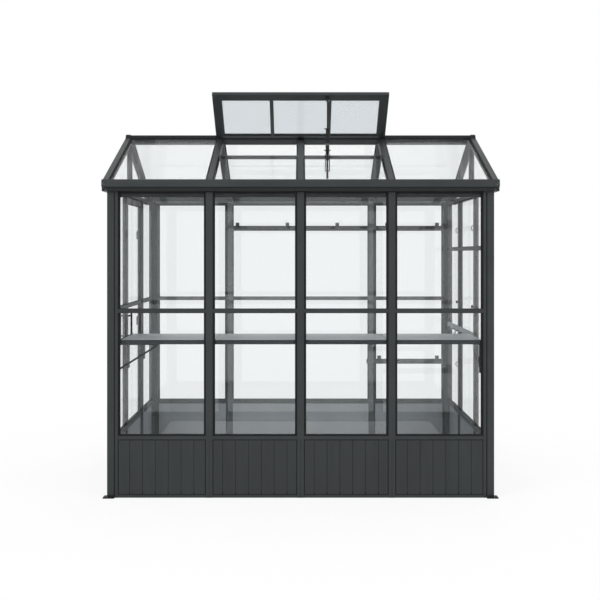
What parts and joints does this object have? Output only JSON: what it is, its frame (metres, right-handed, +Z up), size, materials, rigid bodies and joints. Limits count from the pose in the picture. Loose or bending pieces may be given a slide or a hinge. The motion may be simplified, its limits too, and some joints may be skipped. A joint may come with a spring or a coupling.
{
  "type": "walk-in greenhouse",
  "caption": "Walk-in greenhouse with a dark aluminium frame, clear panes over low boarded panels, a gable roof with gutters, a raised roof vent and a hinged gable door.",
  "frame": {"origin": "on the ground at the middle of the footprint", "axes": "+X along the ridge to the right seen from the front, +Y from the front wall to the back wall, +Z up"},
  "size_m": [2.514, 1.99, 2.6391],
  "materials": {
    "powder_coated_frame": "matt charcoal powder coat on aluminium extrusions",
    "boarded_panel": "satin charcoal coated sheet, pressed as upright boards",
    "clear_polycarbonate": "clear polished polycarbonate sheet with a faint cool tint",
    "shelf_sheet": "satin mid-grey coated folded sheet",
    "opener_metal": "dark satin coated tube and rod",
    "black_fittings": "matt black coated metal"
  },
  "bodies": {
    "house": {"corner_posts": "powder_coated_frame", "front_posts": "powder_coated_frame", "back_posts": "powder_coated_frame", "left_posts": "powder_coated_frame", "right_posts": "powder_coated_frame", "front_rails": "powder_coated_frame", "back_rails": "powder_coated_frame", "left_rails": "powder_coated_frame", "right_rails": "powder_coated_frame", "front_panels": "boarded_panel", "back_panels": "boarded_panel", "left_panels": "boarded_panel", "right_panels": "boarded_panel", "front_glazing": "clear_polycarbonate", "back_glazing": "clear_polycarbonate", "left_glazing": "clear_polycarbonate", "right_glazing": "clear_polycarbonate", "eave_beams": "powder_coated_frame", "gutters": "powder_coated_frame", "end_caps": "powder_coated_frame", "gable_ties": "powder_coated_frame", "king_posts": "powder_coated_frame", "gable_rafters": "powder_coated_frame", "roof_bars": "powder_coated_frame", "roof_caps": "powder_coated_frame", "ridge_beam": "powder_coated_frame", "ridge_cap": "powder_coated_frame", "gable_glazing": "clear_polycarbonate", "front_roof_glazing": "clear_polycarbonate", "back_roof_glazing": "clear_polycarbonate", "vent_purlins": "powder_coated_frame", "vent_rails": "powder_coated_frame", "vent_bars": "powder_coated_frame", "vent_glazing": "clear_polycarbonate", "vent_opener": "opener_metal", "post_hinge_leaves": "powder_coated_frame", "shelf_trays": "shelf_sheet", "shelf_brackets": "powder_coated_frame", "hanging_bars": "powder_coated_frame", "tool_rail": "shelf_sheet", "foot_plates": "black_fittings"},
    "door": {"door_stiles": "powder_coated_frame", "door_rails": "powder_coated_frame", "door_panel": "boarded_panel", "door_glazing": "clear_polycarbonate", "door_handle": "black_fittings", "door_hinge_leaves": "powder_coated_frame"}
  },
  "joints": [
    {"name": "door_hinge", "type": "hinge", "parent": "house", "child": "door", "pos_m": [-1.228, 0.3325, 1], "axis": [0, 0, -1], "range_deg": [0, 105]}
  ]
}
